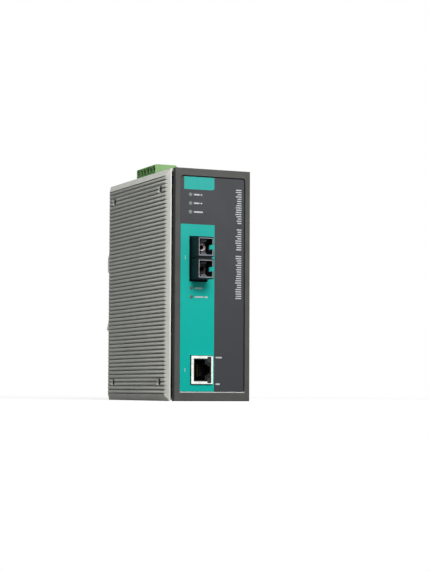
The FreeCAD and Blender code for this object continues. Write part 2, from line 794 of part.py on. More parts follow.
# ---- rail clip ----------------------------------------------------------------
def rail_clip():
    """Extruded clip: flat plate, curled top lip and ramped bottom hook."""
    back = panel_rear
    far = case_depth + clip_reach
    outline = [(back, clip_low), (far - 0.8, clip_low), (far, clip_low + 1.0),
               (110.6, 50.4), (108.5, 50.4), (108.5, 47.0), (rail_face, 47.0),
               (rail_face, clip_high - 2.2), (far - 3.0, clip_high - 2.2),
               (far - 3.0, 85.0), (108.5, 83.4), (108.5, 80.8), (far - 1.6, 80.8),
               (far - 1.0, 81.6), (far - 1.0, clip_high), (back, clip_high)]
    body = side_prism(outline, -clip_half, clip_half)
    curl = [e for e in edges_along(body, AXIS_X)
            if e.CenterOfMass.z > clip_high - 0.1 and e.CenterOfMass.y > face_y + far - 2]
    body = body.makeFillet(3.6, curl)
    tools = []
    for x, z in clip_screw_places():
        tools.append(cone(x, rail_face, z, 3.0, 1.6, 1.4, -AXIS_Y))
        tools.append(peg(x, rail_face + 1, z, 1.6, 1.6, 5, -AXIS_Y))
    return cut_all(body, tools)


def clip_spring():
    """Stiff leaf spring, bowed between the curl and the rail's upper edge."""
    gap_low, gap_high = 85.6, clip_high - 2.2
    left = rail_face + 0.4
    right = case_depth + clip_reach - 3.4
    path = [(left + 0.3, gap_high - 0.45), (right - 0.6, gap_high - 0.45),
            (right - 0.5, gap_high - 1.6), (left + 0.9, gap_low + 0.2),
            (left + 0.3, gap_low - 1.6)]
    return side_prism(ribbon(path, 0.7), -14.0, 14.0)


def clip_screws():
    return Part.makeCompound([
        flat_screw(x, rail_face - 0.05, z, -AXIS_Y, head=2.9, length=6.5)
        for x, z in clip_screw_places()])


# ---- build --------------------------------------------------------------------
def build():
    os.makedirs("parts", exist_ok=True)
    export("chassis_wrap", chassis())
    export("right_side_plate", side_plate())
    export("left_side_plate", left_plate())
    export("right_plate_screws", plate_screws())
    export("left_plate_screws", mirrored(plate_screws()))
    export("front_bezel", bezel())
    export("front_label", label())
    export("transceiver_housing", transceiver())
    for name, z in zip(("transmit", "receive"), port_zs):
        export(name + "_barrel", barrel(z))
        export(name + "_latch", latch(z))
    export("transceiver_pins", transceiver_pins())
    export("jack_shield", jack_shield())
    export("jack_body", jack_body())
    export("jack_contacts", jack_contacts())
    export("jack_lamp_upper", jack_lamp(1))
    export("jack_lamp_lower", jack_lamp(-1))
    status, link = lamp_places()
    for name, places in (("status", status), ("link", link)):
        export(name + "_lamp_holder", lamp_holder(places))
        for i, (x, z) in enumerate(places):
            export(name + "_lamp_" + str(i + 1), lamp(x, z))
    export("main_board", board())
    export("board_standoffs", standoffs())
    export("board_screws", board_screws())
    export("converter_chip", converter_chip())
    export("line_transformer", line_transformer())
    export("fault_relay", fault_relay())
    export("power_transformer", power_transformer())
    export("filter_capacitor_1", capacitor(88.0, 68.0))
    export("filter_capacitor_2", capacitor(88.0, 54.0))
    export("terminal_header", terminal_header())
    export("header_pins", header_pins())
    export("terminal_plug", plug())
    export("plug_contacts", plug_contacts())
    for i, d in enumerate(pole_d):
        export("clamp_cage_" + str(i + 1), clamp_cage(d))
        export("clamp_screw_" + str(i + 1), clamp_screw(d))
    export("switch_block", switch_block())
    for i, d in enumerate(switch_places()):
        export("switch_slider_" + str(i + 1), switch_slider(d))
    export("ground_screw", ground_screw())
    export("rail_clip", rail_clip())
    export("rail_clip_spring", clip_spring())
    export("rail_clip_screws", clip_screws())


build()
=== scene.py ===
"""Looks of a fibre media converter: a slim ribbed case that stands upright on a rail.

Metres, +Z up, the front face looks along -Y and +X is to its right. The sections follow
the object as it is put together: case, front, ports, lamps, board, terminals, rail clip.
"""
import math

from functools import partial

import bmesh
import bpy
from mathutils import Matrix, Vector
from mathutils.geometry import delaunay_2d_cdt


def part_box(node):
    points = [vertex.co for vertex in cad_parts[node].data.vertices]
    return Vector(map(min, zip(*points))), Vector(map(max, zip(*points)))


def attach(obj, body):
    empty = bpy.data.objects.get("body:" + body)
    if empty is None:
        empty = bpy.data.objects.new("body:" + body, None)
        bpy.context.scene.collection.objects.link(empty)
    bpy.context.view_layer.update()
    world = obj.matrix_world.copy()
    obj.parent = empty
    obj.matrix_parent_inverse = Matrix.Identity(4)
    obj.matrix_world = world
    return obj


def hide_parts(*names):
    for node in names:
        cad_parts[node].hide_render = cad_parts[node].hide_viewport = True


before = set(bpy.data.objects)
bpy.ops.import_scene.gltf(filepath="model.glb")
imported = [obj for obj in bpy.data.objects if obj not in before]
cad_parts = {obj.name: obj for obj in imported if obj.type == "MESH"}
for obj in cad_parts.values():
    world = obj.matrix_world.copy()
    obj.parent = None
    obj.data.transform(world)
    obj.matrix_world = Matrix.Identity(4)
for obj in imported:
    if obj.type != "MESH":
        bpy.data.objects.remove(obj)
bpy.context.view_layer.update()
scene = bpy.context.scene
mm = 0.001


# ---- Studio ----------------------------------------------------
# A pale floor that fades into a white surround, one broad lamp in front, weaker ones at
# the right, above and behind, and a long-lens camera low at the left of the front.
def wire(tree, kind, values=None, **settings):
    """Adds a node. A value is linked where it is a socket and written where it isn't."""
    node = tree.nodes.new(kind)
    for name, setting in settings.items():
        setattr(node, name, setting)
    for key, value in (values or {}).items():
        if isinstance(value, bpy.types.NodeSocket):
            tree.links.new(value, node.inputs[key])
        else:
            node.inputs[key].default_value = value
    return node


def out(tree, kind, values=None, **settings):
    """Adds a node and gives its first output."""
    return wire(tree, kind, values, **settings).outputs[0]


def calc(tree, operation, *terms):
    """One step of arithmetic, as a socket."""
    return out(tree, "ShaderNodeMath", dict(enumerate(terms)), operation=operation)


def ramp(tree, value, start, end, low=0.0, high=1.0, **settings):
    """Goes from low to high as a value goes from start to end."""
    return out(tree, "ShaderNodeMapRange", {
        "Value": value, "From Min": start, "From Max": end, "To Min": low, "To Max": high},
        **settings)


def seen_straight(tree):
    """1 where the camera sees a surface itself, or in a shine or through a clear piece."""
    ray = wire(tree, "ShaderNodeLightPath").outputs
    return calc(tree, "MAXIMUM", ray["Is Camera Ray"],
                calc(tree, "MAXIMUM", ray["Is Glossy Ray"], ray["Is Transmission Ray"]))


def floor_paint():
    """Matt and pale near the object, and plain white farther off."""
    paint = bpy.data.materials.new("floor_paint")
    paint.use_nodes = True
    tree = paint.node_tree
    tree.nodes.clear()
    fade_start, fade_end, speck_scale, glow = 0.22, 0.75, 40.0, 0.74
    dark_speck, pale_speck = (0.26, 0.26, 0.26, 1), (0.28, 0.28, 0.28, 1)
    place = wire(tree, "ShaderNodeTexCoord").outputs["Object"]
    reach = wire(tree, "ShaderNodeVectorMath", {0: place}, operation="LENGTH").outputs["Value"]
    away = ramp(tree, reach, fade_start, fade_end, interpolation_type="SMOOTHSTEP")
    speck = out(tree, "ShaderNodeTexNoise", {"Vector": place, "Scale": speck_scale})
    tone = wire(tree, "ShaderNodeMix", {0: speck, 6: dark_speck, 7: pale_speck},
                data_type="RGBA").outputs[2]
    matt = out(tree, "ShaderNodeBsdfDiffuse", {"Color": tone})
    lift = out(tree, "ShaderNodeEmission", {"Color": (1, 1, 1, 1), "Strength": glow})
    near = out(tree, "ShaderNodeAddShader", {0: matt, 1: lift})
    white = out(tree, "ShaderNodeEmission", {"Color": (1, 1, 1, 1), "Strength": 1.0})
    seen = out(tree, "ShaderNodeMixShader", {0: away, 1: near, 2: white})
    wire(tree, "ShaderNodeOutputMaterial", {"Surface": out(tree, "ShaderNodeMixShader", {
        0: seen_straight(tree), 1: matt, 2: seen})})
    return paint


def added(name, data):
    """A new object in the scene."""
    thing = bpy.data.objects.new(name, data)
    scene.collection.objects.link(thing)
    return thing


def floor_sheet():
    half = 5.0
    mesh = bpy.data.meshes.new("floor")
    mesh.from_pydata([(x * half, y * half, 0.0) for x, y in
                      ((-1, -1), (1, -1), (1, 1), (-1, 1))], [], [range(4)])
    mesh.materials.append(floor_paint())
    added("floor", mesh)


def studio_lamp(name, azimuth, elevation, distance, width, level):
    """Area lamp aimed at the object's middle; level is what it gives a face turned to it."""
    aim = Vector((0, 0, 70 * mm))
    turn, rise = math.radians(azimuth), math.radians(elevation)
    away = Vector((math.sin(turn) * math.cos(rise), -math.cos(turn) * math.cos(rise),
                   math.sin(rise)))
    lamp = bpy.data.lights.new(name, "AREA")
    lamp.shape, lamp.size = "DISK", width
    lamp.energy = level * math.pi ** 2 * distance ** 2
    holder = added(name, lamp)
    holder.location = aim + away * distance
    holder.rotation_euler = away.to_track_quat("Z", "Y").to_euler()


def surround():
    world = bpy.data.worlds.new("surround")
    world.use_nodes = True
    scene.world = world
    tree = world.node_tree
    tree.nodes.clear()
    lit, seen = [out(tree, "ShaderNodeBackground", {"Color": (1, 1, 1, 1), "Strength": level})
                 for level in (0.12, 1.0)]
    wire(tree, "ShaderNodeOutputWorld", {"Surface": out(tree, "ShaderNodeMixShader", {
        0: seen_straight(tree), 1: lit, 2: seen})})


def long_camera(place, focal, yaw, pitch, roll):
    """A camera turned away from +Y by yaw, then pitched up and rolled, in degrees."""
    lens = bpy.data.cameras.new("camera")
    lens.lens, lens.clip_start, lens.clip_end = focal, 0.05, 50.0
    stand = Matrix.Translation(place)
    for angle, axis in ((-yaw, "Z"), (90 + pitch, "X"), (roll, "Z")):
        stand = stand @ Matrix.Rotation(math.radians(angle), 4, axis)
    scene.camera = added("camera", lens)
    scene.camera.matrix_world = stand


floor_sheet()
surround()
studio_lamp("front_lamp", -6, 33, 0.95, 0.5, 1.24)
studio_lamp("right_card", 50, 10, 1.5, 1.0, 0.12)
studio_lamp("top_lamp", 60, 78, 1.5, 1.0, 0.14)
studio_lamp("back_lamp", 160, 35, 1.7, 1.0, 0.32)
long_camera((-0.3872, -0.9189, 0.0067), focal=103.2, yaw=24.11, pitch=3.64, roll=0.278)
scene.view_settings.view_transform = "Standard"


# ---- Ribbed side plates ----------------------------------------
# Two aluminium die castings close the case left and right. Each has fine level ribs with
# rounded crests, a broad bevel all round, and a pearl-grey baked paint with a fine grain.
def hue(colour):
    """The shader's own form of a colour that is given in steps of 0 to 255."""
    shares = (step / 255 for step in colour)
    return (*(v / 12.92 if v <= 0.04045 else ((v + 0.055) / 1.055) ** 2.4 for v in shares), 1)


def shader_of(paint):
    """A surface's node tree and its shader's sockets."""
    return paint.node_tree, paint.node_tree.nodes["Principled BSDF"].inputs


def spot_on(tree, kind="Object"):
    """The X, Y and Z of the shaded point, or of its normal, in the object's own space."""
    return wire(tree, "ShaderNodeSeparateXYZ",
                {0: wire(tree, "ShaderNodeTexCoord").outputs[kind]}).outputs


def pattern(tree, size, stretch=(1, 1, 1), detail=3.0):
    """Cloudy noise whose lumps are about a size in mm, stretched along the axes."""
    place = wire(tree, "ShaderNodeTexCoord").outputs["Object"]
    scaled = out(tree, "ShaderNodeMapping", {"Vector": place, "Scale": stretch})
    return out(tree, "ShaderNodeTexNoise", {
        "Vector": scaled, "Scale": 1 / (size * mm), "Detail": detail})


def mottled(paint, other, size, stretch=(1, 1, 1)):
    """Lets the colour drift between the paint's own and another."""
    tree, sockets = shader_of(paint)
    share = ramp(tree, pattern(tree, size, stretch), 0.35, 0.65)
    own = tuple(sockets["Base Color"].default_value)
    mixed = wire(tree, "ShaderNodeMix", {0: share, 6: own, 7: hue(other)}, data_type="RGBA")
    tree.links.new(mixed.outputs[2], sockets["Base Color"])


def uneven(paint, spread, size, stretch=(1, 1, 1)):
    """Lets the sheen drift by a small spread round the paint's own roughness."""
    tree, sockets = shader_of(paint)
    own = sockets["Roughness"].default_value
    varied = ramp(tree, pattern(tree, size, stretch), 0.3, 0.7, own - spread, own + spread)
    tree.links.new(varied, sockets["Roughness"])


def grained(paint, size, depth, stretch=(1, 1, 1)):
    """Fine relief: a moulded, cast or brushed grain of a lump size and depth in mm."""
    tree, sockets = shader_of(paint)
    tree.links.new(out(tree, "ShaderNodeBump", {
        "Height": pattern(tree, size, stretch, 2.0), "Distance": depth * mm,
        "Strength": 1.0}), sockets["Normal"])


def finish(name, colour, roughness, metallic=0.0, drift=None, sheen=None, grain=None,
           specular=0.5, **given):
    """A surface: even values on the shader's own sockets, then what varies over it."""
    paint = bpy.data.materials.new(name)
    paint.use_nodes = True
    sockets = shader_of(paint)[1]
    for label, value in {"Base Color": hue(colour), "Roughness": roughness,
                         "Metallic": metallic, "Specular IOR Level": specular, **given}.items():
        sockets[label.replace("_", " ")].default_value = value
    for vary, sizes in ((mottled, drift), (uneven, sheen), (grained, grain)):
        if sizes:
            vary(paint, *sizes)
    return paint


def printed(paint, colour, *masks):
    """Paints a colour over the paint wherever one of the masks is 1: print as well as painted
    light and shade.
    """
    tree, sockets = shader_of(paint)
    under = sockets["Base Color"].links[0].from_socket
    whole = masks[0]
    for mask in masks[1:]:
        whole = calc(tree, "MAXIMUM", whole, mask)
    over = wire(tree, "ShaderNodeMix", {0: whole, 6: under, 7: hue(colour)}, data_type="RGBA")
    tree.links.new(over.outputs[2], sockets["Base Color"])


def steep(tree, slope, start, end):
    """Rises from 0 to 1 as a normal's share along one axis does from start to end."""
    return ramp(tree, calc(tree, "ABSOLUTE", slope), start, end)


def recipe(name, sockets):
    """A geometry node tree with a named input for each size, and one for the material."""
    tree = bpy.data.node_groups.new(name, "GeometryNodeTree")
    tree.interface.new_socket("Geometry", in_out="INPUT", socket_type="NodeSocketGeometry")
    for label, kind in {**sockets, "Material": "Material"}.items():
        tree.interface.new_socket(label, in_out="INPUT", socket_type="NodeSocket" + kind)
    tree.interface.new_socket("Geometry", in_out="OUTPUT", socket_type="NodeSocketGeometry")
    return tree, wire(tree, "NodeGroupInput").outputs


def served(tree, given, shape):
    """Ends a recipe: what it placed becomes one plain shape with one material."""
    whole = out(tree, "GeometryNodeRealizeInstances", {0: shape})
    painted = out(tree, "GeometryNodeSetMaterial", {
        "Geometry": whole, "Material": given["Material"]})
    wire(tree, "NodeGroupOutput", {0: painted})
    return tree


def smoothed(mesh, angle=35):
    """Shades a mesh smooth, apart from edges sharper than an angle."""
    mesh.polygons.foreach_set("use_smooth", [True] * len(mesh.polygons))
    mesh.set_sharp_from_angle(angle=math.radians(angle))
    mesh.update()


def settled(piece):
    """Turns a piece and its modifiers into one plain mesh."""
    bpy.context.view_layer.update()
    ready = piece.evaluated_get(bpy.context.evaluated_depsgraph_get())
    mesh = bpy.data.meshes.new_from_object(ready)
    mesh.name = piece.name
    piece.modifiers.clear()
    piece.data = mesh
    smoothed(mesh)
    return piece


def grown(name, tree, sizes, start=None):
    """Runs a recipe with its sizes and keeps the result as a plain mesh."""
    piece = added(name, start or bpy.data.meshes.new(name))
    step = piece.modifiers.new("recipe", "NODES")
    step.node_group = tree
    for socket in tree.interface.items_tree:
        if socket.in_out == "INPUT" and socket.name in sizes:
            step[socket.identifier] = sizes[socket.name]
    return settled(piece)


def fitted(piece, body, slot, paint, *nodes):
    """Gives a finished piece its surface and its body, and hides the nodes it stands for. Its
    slot is not used.
    """
    piece.data.materials.clear()
    piece.data.materials.append(paint)
    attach(piece, body)
    if nodes:
        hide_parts(*nodes)


def vector(tree, **parts):
    """A vector from its X, Y and Z, as a socket."""
    return out(tree, "ShaderNodeCombineXYZ", parts)


def spot_in(tree):
    """The X, Y and Z of each point of a recipe's shape."""
    return wire(tree, "ShaderNodeSeparateXYZ",
                {0: out(tree, "GeometryNodeInputPosition")}).outputs


def ribbed_plate_recipe():
    sizes = ("Front", "Rear", "Height", "Inner", "Outer", "Bevel Width", "Bevel Depth", "Pitch",
             "First Groove", "Groove Depth", "Roundness", "Side", "Screw Depths",
             "Screw Heights", "Mouth", "Shank")
    tree, given = recipe("ribbed_plate", {
        **dict.fromkeys(sizes, "Float"), "Ribs": "Int", "Steps": "Int",
        "Screw Middle": "Vector"})
    do = partial(calc, tree)
    rest_of = partial(do, "SUBTRACT", 1.0)
    bevel, deep, side = given["Bevel Width"], given["Bevel Depth"], given["Side"]
    last = do("ADD", do("MULTIPLY", given["Ribs"], given["Steps"]), 4.0)
    sheet = out(tree, "GeometryNodeMeshGrid", {
        "Size X": 3.0, "Size Y": last, "Vertices X": 4, "Vertices Y": do("ADD", last, 1.0)})
    spot = spot_in(tree)
    column = do("ROUND", do("ADD", spot["X"], 1.5))
    row = do("ROUND", do("ADD", spot["Y"], do("MULTIPLY", last, 0.5)))
    # heights: both edges, both bevel lines, and even steps over the ribs between them
    at_foot = do("LESS_THAN", row, 1.5)
    at_head = do("GREATER_THAN", row, do("SUBTRACT", last, 1.5))
    even = do("MULTIPLY_ADD", do("SUBTRACT", row, 2.0),
              do("DIVIDE", given["Pitch"], given["Steps"]), given["First Groove"])
    foot = do("MULTIPLY", row, bevel)
    head = do("SUBTRACT", given["Height"], do("MULTIPLY", do("SUBTRACT", last, row), bevel))
    in_ribs = do("SUBTRACT", rest_of(at_foot), at_head)
    height = do("ADD", do("MULTIPLY", at_foot, foot),
                do("ADD", do("MULTIPLY", at_head, head), do("MULTIPLY", in_ribs, even)))
    # each rib's rounded section, and the bevel that cuts it off at foot and head
    across = do("ABSOLUTE", do("MULTIPLY_ADD", do("FRACT", do("DIVIDE", do(
        "SUBTRACT", height, given["First Groove"]), given["Pitch"])), 2.0, -1.0))
    fall = rest_of(do("POWER", across, given["Roundness"]))
    crest = do("POWER", do("MAXIMUM", fall, 0.0), do("DIVIDE", 1.0, given["Roundness"]))
    groove = do("MULTIPLY", do("MULTIPLY", rest_of(crest), given["Groove Depth"]),
                in_ribs)
    from_edge = do("DIVIDE", do(
        "MINIMUM", height, do("SUBTRACT", given["Height"], height)), bevel)
    cut = do("MULTIPLY", do("MAXIMUM", rest_of(from_edge), 0.0), deep)
    drop = do("MINIMUM", do("MAXIMUM", groove, cut), deep)
    # where the rib's surface meets the front and rear bevels
    run = do("MULTIPLY", rest_of(do("DIVIDE", drop, deep)), bevel)
    inside = do("COMPARE", column, 1.5, 0.6)
    in_front = do("LESS_THAN", column, 1.5)
    reach = do("MULTIPLY", inside, run)
    depth = do("ADD", do("MULTIPLY", in_front, do("ADD", given["Front"], reach)),
               do("MULTIPLY", rest_of(in_front), do("SUBTRACT", given["Rear"], reach)))
    sink = do("ADD", do("MULTIPLY", inside, drop),
              do("MULTIPLY", rest_of(inside), deep))
    outside = do("MULTIPLY", side, do("SUBTRACT", given["Outer"], sink))
    skin = out(tree, "GeometryNodeSetPosition", {
        "Geometry": sheet, "Position": vector(tree, X=outside, Y=depth, Z=height)})
    # the same net again on the inner plane, with walls between the two
    grown_in = wire(tree, "GeometryNodeExtrudeMesh", {
        "Mesh": skin, "Offset": vector(tree, X=do("MULTIPLY", side, -1 * mm)),
        "Offset Scale": 1.0, "Individual": False})
    spot = spot_in(tree)
    flat = vector(tree, X=do("MULTIPLY", side, given["Inner"]), Y=spot["Y"], Z=spot["Z"])
    inner = out(tree, "GeometryNodeSetPosition", {
        "Geometry": grown_in.outputs["Mesh"], "Selection": grown_in.outputs["Top"],
        "Position": flat})
    inner = out(tree, "GeometryNodeFlipFaces", {"Mesh": inner})
    both = wire(tree, "GeometryNodeJoinGeometry")
    tree.links.new(inner, both.inputs[0])
    tree.links.new(skin, both.inputs[0])
    shell = out(tree, "GeometryNodeMergeByDistance", {
        "Geometry": both.outputs[0], "Distance": 1e-6})
    turned_out = out(tree, "FunctionNodeCompare", {0: side, 1: 0.0}, data_type="FLOAT",
                     operation="LESS_THAN")
    shell = out(tree, "GeometryNodeFlipFaces", {"Mesh": shell, "Selection": turned_out})
    # four countersunk holes, cut by a taper and a drill at each corner
    corners = out(tree, "GeometryNodeMeshGrid", {
        "Size X": given["Screw Depths"], "Size Y": given["Screw Heights"], "Vertices X": 2,
        "Vertices Y": 2})
    corners = out(tree, "GeometryNodeTransform", {
        "Geometry": corners, "Rotation": (math.pi / 2, 0.0, math.pi / 2),
        "Translation": given["Screw Middle"]})
    taper = out(tree, "GeometryNodeMeshCone", {
        "Vertices": 40, "Radius Top": 0.0, "Radius Bottom": do("MULTIPLY", given["Mouth"], 2.0),
        "Depth": do("MULTIPLY", given["Mouth"], 2.0)})
    drill = out(tree, "GeometryNodeMeshCylinder", {
        "Vertices": 32, "Radius": given["Shank"], "Depth": 20 * mm})
    taper = out(tree, "GeometryNodeTransform", {
        "Geometry": taper,
        "Translation": vector(tree, Z=do("MULTIPLY", given["Mouth"], -1.0))})
    inwards = vector(tree, Y=do("MULTIPLY", side, -math.pi / 2))
    tools = []
    for tool in (taper, drill):
        cutters = out(tree, "GeometryNodeInstanceOnPoints", {
            "Points": corners, "Instance": tool, "Rotation": inwards})
        tools.append(out(tree, "GeometryNodeRealizeInstances", {0: cutters}))
    bored = wire(tree, "GeometryNodeMeshBoolean", {0: shell}, operation="DIFFERENCE",
                 solver="EXACT")
    for tool in tools:
        tree.links.new(tool, bored.inputs["Mesh 2"])
    return served(tree, given, bored.outputs["Mesh"])


rib_bevel = 4.0 * mm
groove_pitch = 2.35 * mm
pearl_paint = finish("pearl_paint", (218, 219, 211), 0.5, drift=((211, 212, 204), 9),
    sheen=(0.06, 3), grain=(0.22, 0.012), specular=0.15)
pearl_tree = pearl_paint.node_tree
pearl_spot = spot_on(pearl_tree)
casting_low, casting_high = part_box("left_side_plate")
half_height = casting_high.z / 2
# painted shade: rib flanks turned up or down are painted darker, for the shade in the grooves
flank_shade = steep(pearl_tree, spot_on(pearl_tree, "Normal")["Z"], 0.25, 0.95)
ribbed_part = calc(pearl_tree, "COMPARE", pearl_spot["Z"], half_height, half_height - rib_bevel)
printed(pearl_paint, (166, 170, 162), calc(pearl_tree, "MULTIPLY", flank_shade, ribbed_part))
# painted highlight: a lighter strip along each casting's front edge
highlight_width = 0.45 * mm
printed(pearl_paint, (240, 242, 236),
        calc(pearl_tree, "LESS_THAN", pearl_spot["Y"], casting_low.y + highlight_width))

plate_recipe = ribbed_plate_recipe()
screw_head, rib_number = 2.2 * mm, 54
for way, side in (("right", 1.0), ("left", -1.0)):
    low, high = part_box(way + "_side_plate")
    outer = max(abs(low.x), abs(high.x))
    screw_low, screw_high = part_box(way + "_plate_screws")
    spread, middle = screw_high - screw_low, (screw_high + screw_low) / 2
    plate = grown(way + "_ribbed_casting", plate_recipe, {
        "Front": low.y, "Rear": high.y, "Height": high.z, "Inner": outer - 2.8 * mm,
        "Outer": outer, "Bevel Width": rib_bevel, "Bevel Depth": 2.4 * mm,
        "Pitch": groove_pitch, "First Groove": (high.z - groove_pitch * rib_number) / 2,
        "Ribs": rib_number, "Steps": 12, "Groove Depth": 1.25 * mm, "Roundness": 2.0,
        "Side": side, "Screw Depths": spread.y - 2 * screw_head,
        "Screw Heights": spread.z - 2 * screw_head,
        "Screw Middle": (side * outer, middle.y, middle.z), "Mouth": 3.2 * mm,
        "Shank": 1.6 * mm, "Material": pearl_paint})
    fitted(plate, "case", "ribbed_alloy", pearl_paint, way + "_side_plate")


# ---- Plate screws ----------------------------------------------
# Four countersunk steel screws hold each casting to the folded chassis, sunk below its
# ribs. They are blackened, have a cross recess, and each stands at its own angle.
def made(name, form):
    """Keeps a bmesh as an object at the origin, with its doubles merged, facing outwards."""
    bmesh.ops.remove_doubles(form, verts=form.verts, dist=1e-7)
    bmesh.ops.recalc_face_normals(form, faces=form.faces)
    mesh = bpy.data.meshes.new(name)
    form.to_mesh(mesh)
    form.free()
    return added(name, mesh)


def turned(name, profile, steps=40, closed=False):
    """Turns a profile of (radius, height) round +Z. An open one starts and ends on the axis."""
    form = bmesh.new()
    rings = []
    for radius, height in profile:
        turns = [2 * math.pi * i / steps for i in range(steps if radius else 1)]
        ring = [form.verts.new((radius * math.cos(a), radius * math.sin(a), height))
                for a in turns]
        rings.append(ring if radius else ring * steps)
    pairs = list(zip(rings, rings[1:])) + ([(rings[-1], rings[0])] if closed else [])
    for lower, upper in pairs:
        for i in range(steps):
            j = (i + 1) % steps
            corners = list(dict.fromkeys((lower[i], lower[j], upper[j], upper[i])))
            if len(corners) > 2:
                form.faces.new(corners)
    return made(name, form)


def walled(form, *outlines):
    """Closes the space between two outlines with a face on each and walls between them."""
    ends = [[form.verts.new(point) for point in outline] for outline in outlines]
    form.faces.new(ends[0])
    form.faces.new(ends[1])
    for i in range(len(ends[0])):
        j = (i + 1) % len(ends[0])
        form.faces.new((ends[0][i], ends[0][j], ends[1][j], ends[1][i]))


def wedge(top, foot, high, low):
    """A four-sided cutter that narrows from its top's width and length to its foot's."""
    form = bmesh.new()
    walled(form, *[[(x * wide / 2, y * long / 2, height)
                    for x, y in ((-1, -1), (1, -1), (1, 1), (-1, 1))]
                   for (wide, long), height in ((foot, low), (top, high))])
    return made("cutter", form)


def cross_cutters(reach, width, deep):
    """The two crossed wedges of a driver's recess, cut down from z = 0."""
    sizes = ((reach, width), (width, reach))
    return [wedge(size, [v * 0.55 for v in size], 0.05 * mm, -deep) for size in sizes]


def carved(piece, cutters):
    """Cuts the cutters' shapes out of a piece and throws the cutters away."""
    for cutter in cutters:
        step = piece.modifiers.new("cut", "BOOLEAN")
        step.object, step.operation, step.solver = cutter, "DIFFERENCE", "EXACT"
    settled(piece)
    for cutter in cutters:
        bpy.data.objects.remove(cutter)
    return piece


def countersunk(name, radius, neck, land, *recess):
    """A flat-headed screw round +Z with its top at z = 0 and a cross recess."""
    shank, tip = 1.45 * mm, -6.4 * mm
    screw = turned(name, [
        (0, tip), (shank - 0.25 * mm, tip), (shank, tip + 0.3 * mm), (shank, -neck),
        (radius - 0.05 * mm, -land - 0.1 * mm), (radius, -land), (radius - 0.08 * mm, 0),
        (0, 0)])
    return carved(screw, cross_cutters(*recess))


def strewn(tree, given, shape, **how):
    """Ends a recipe with an object's shape on every point that it was given."""
    one = wire(tree, "GeometryNodeObjectInfo", {"Object": given[shape]}).outputs["Geometry"]
    return served(tree, given, out(tree, "GeometryNodeInstanceOnPoints", {
        "Points": given["Geometry"], "Instance": one, **how}))


def drawn(tree, given, least, most):
    """A seeded random number for each point."""
    return wire(tree, "FunctionNodeRandomValue", {2: least, 3: most, "Seed": given["Seed"]},
                data_type="FLOAT").outputs[1]


def fixing_recipe():
    """Sets one fastener on every point, square to the surface, at a seeded turn."""
    tree, given = recipe("fixings", {
        "Fastener": "Object", "Facing": "Vector", "Seed": "Int", "Most Turn": "Float"})
    aimed = out(tree, "FunctionNodeAlignRotationToVector", {"Vector": given["Facing"]},
                axis="Z")
    turn = out(tree, "FunctionNodeAxisAngleToRotation", {
        "Axis": (0, 0, 1), "Angle": drawn(tree, given, 0.0, given["Most Turn"])})
    facing = out(tree, "FunctionNodeRotateRotation", {"Rotation": aimed, "Rotate By": turn},
                 rotation_space="LOCAL")
    return strewn(tree, given, "Fastener", Rotation=facing)


def fixed(name, fastener, places, facing, seed, body, slot, paint, *nodes):
    """Makes one piece of a fastener set at every place."""
    points = bpy.data.meshes.new("places")
    points.from_pydata(places, [], [])
    piece = grown(name, fixings, {"Fastener": fastener, "Facing": facing, "Seed": seed,
                                  "Most Turn": 2 * math.pi, "Material": paint}, points)
    fitted(piece, body, slot, paint, *nodes)


fixings = fixing_recipe()
zinc_steel = finish("zinc_steel", (176, 176, 172), 0.34, 1.0, drift=((150, 150, 142), 1.1),
    sheen=(0.08, 0.7), grain=(0.12, 0.006))
black_oxide = finish("black_oxide", (36, 36, 35), 0.42, 0.6, drift=((28, 28, 27), 0.9),
    sheen=(0.08, 0.6), specular=0.3)
flat_head = countersunk("flat_head", screw_head, 0.95 * mm, 0.08 * mm, 3.0 * mm, 0.8 * mm,
                        1.3 * mm)
for side, facing in (("right", 1), ("left", -1)):
    node = side + "_plate_screws"
    low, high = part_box(node)
    face = high.x if facing > 0 else low.x
    places = [(face, y, z) for y in (low.y + screw_head, high.y - screw_head)
              for z in (low.z + screw_head, high.z - screw_head)]
    fixed(side + "_countersunk_screws", flat_head, places, (facing, 0, 0), 4, "case",
          "screw_steel", black_oxide, node)
bpy.data.objects.remove(flat_head)


# ---- Chassis ---------------------------------------------------
# One sheet of steel is folded into the top, rear and bottom between the castings. Its
# edges are sheared, its vents are punched, and it has a satin grey baked paint.
def resplit(mesh):
    """Splits each many-sided face into triangles, so that none spans an opening beside it."""
    form = bmesh.new()
    form.from_mesh(mesh)
    plane = form.faces.layers.float_vector.new("plane")
    for face in [f for f in form.faces if len(f.verts) > 4]:
        corners, start = list(face.verts), face.verts[0].co.copy()
        along = face.normal.orthogonal().normalized()
        up = face.normal.cross(along)
        flat = [Vector(((v.co - start).dot(along), (v.co - start).dot(up))) / mm
                for v in corners]
        points, _, parts, sources = delaunay_2d_cdt(flat, [], [range(len(flat))], 1, 1e-5)[:4]
        verts = [corners[source[0]] if source else
                 form.verts.new(start + (along * point.x + up * point.y) * mm)
                 for point, source in zip(points, sources)]
        for part in parts:
            trio = [verts[i] for i in part]
            if len(set(trio)) > 2 and not form.faces.get(trio):
                piece = form.faces.new(trio, face)
                piece.smooth, piece[plane] = True, face.normal
        form.faces.remove(face)
    form.to_mesh(mesh)
    form.free()


def flattened(piece):
    """Gives the parts of each split face the one normal that it had."""
    mesh = piece.data
    plane = mesh.attributes["plane"]
    normals = [corner.vector.copy() for corner in mesh.corner_normals]
    for face, flat in zip(mesh.polygons, plane.data):
        if flat.vector.length > 0.5:
            for i in face.loop_indices:
                normals[i] = flat.vector.copy()
    mesh.attributes.remove(plane)
    mesh.normals_split_custom_set(normals)
    return piece


